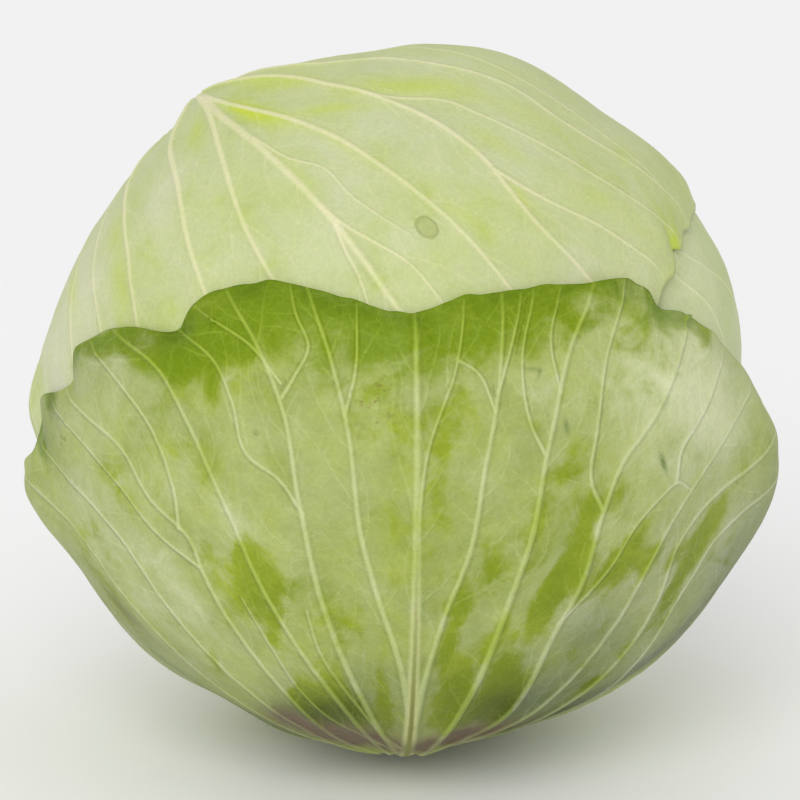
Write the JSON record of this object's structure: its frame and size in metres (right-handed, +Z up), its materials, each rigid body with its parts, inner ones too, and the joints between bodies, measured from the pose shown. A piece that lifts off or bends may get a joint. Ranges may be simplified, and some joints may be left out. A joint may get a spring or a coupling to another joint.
{
  "type": "white cabbage",
  "caption": "Round white cabbage head: pale crown leaf, green front and rear wrapper leaves, packed heart, and a cut stalk whose flat face the head rests on.",
  "frame": {"origin": "middle of the stalk's cut face, on which the head rests", "axes": "+Z up from the cut stalk to the crown; the front wrapper leaf faces -Y; +X is the head's right side seen from the front"},
  "size_m": [0.2123, 0.2019, 0.1983],
  "materials": {
    "stalk": "matte, dry cut face",
    "heart": "satin, pale cream green",
    "pale_leaf": "satin leaf, pale green with cream veins",
    "crown_leaf": "satin leaf, pale yellow green with cream veins",
    "green_leaf": "satin leaf, mid green under a grey waxy bloom, with pale veins"
  },
  "bodies": {
    "root": {"stalk": "stalk", "heart": "heart", "inner_leaf": "pale_leaf", "right_leaf": "pale_leaf", "crown_leaf": "crown_leaf", "rear_right_leaf": "green_leaf", "rear_left_leaf": "green_leaf", "front_leaf": "green_leaf"}
  },
  "joints": []
}
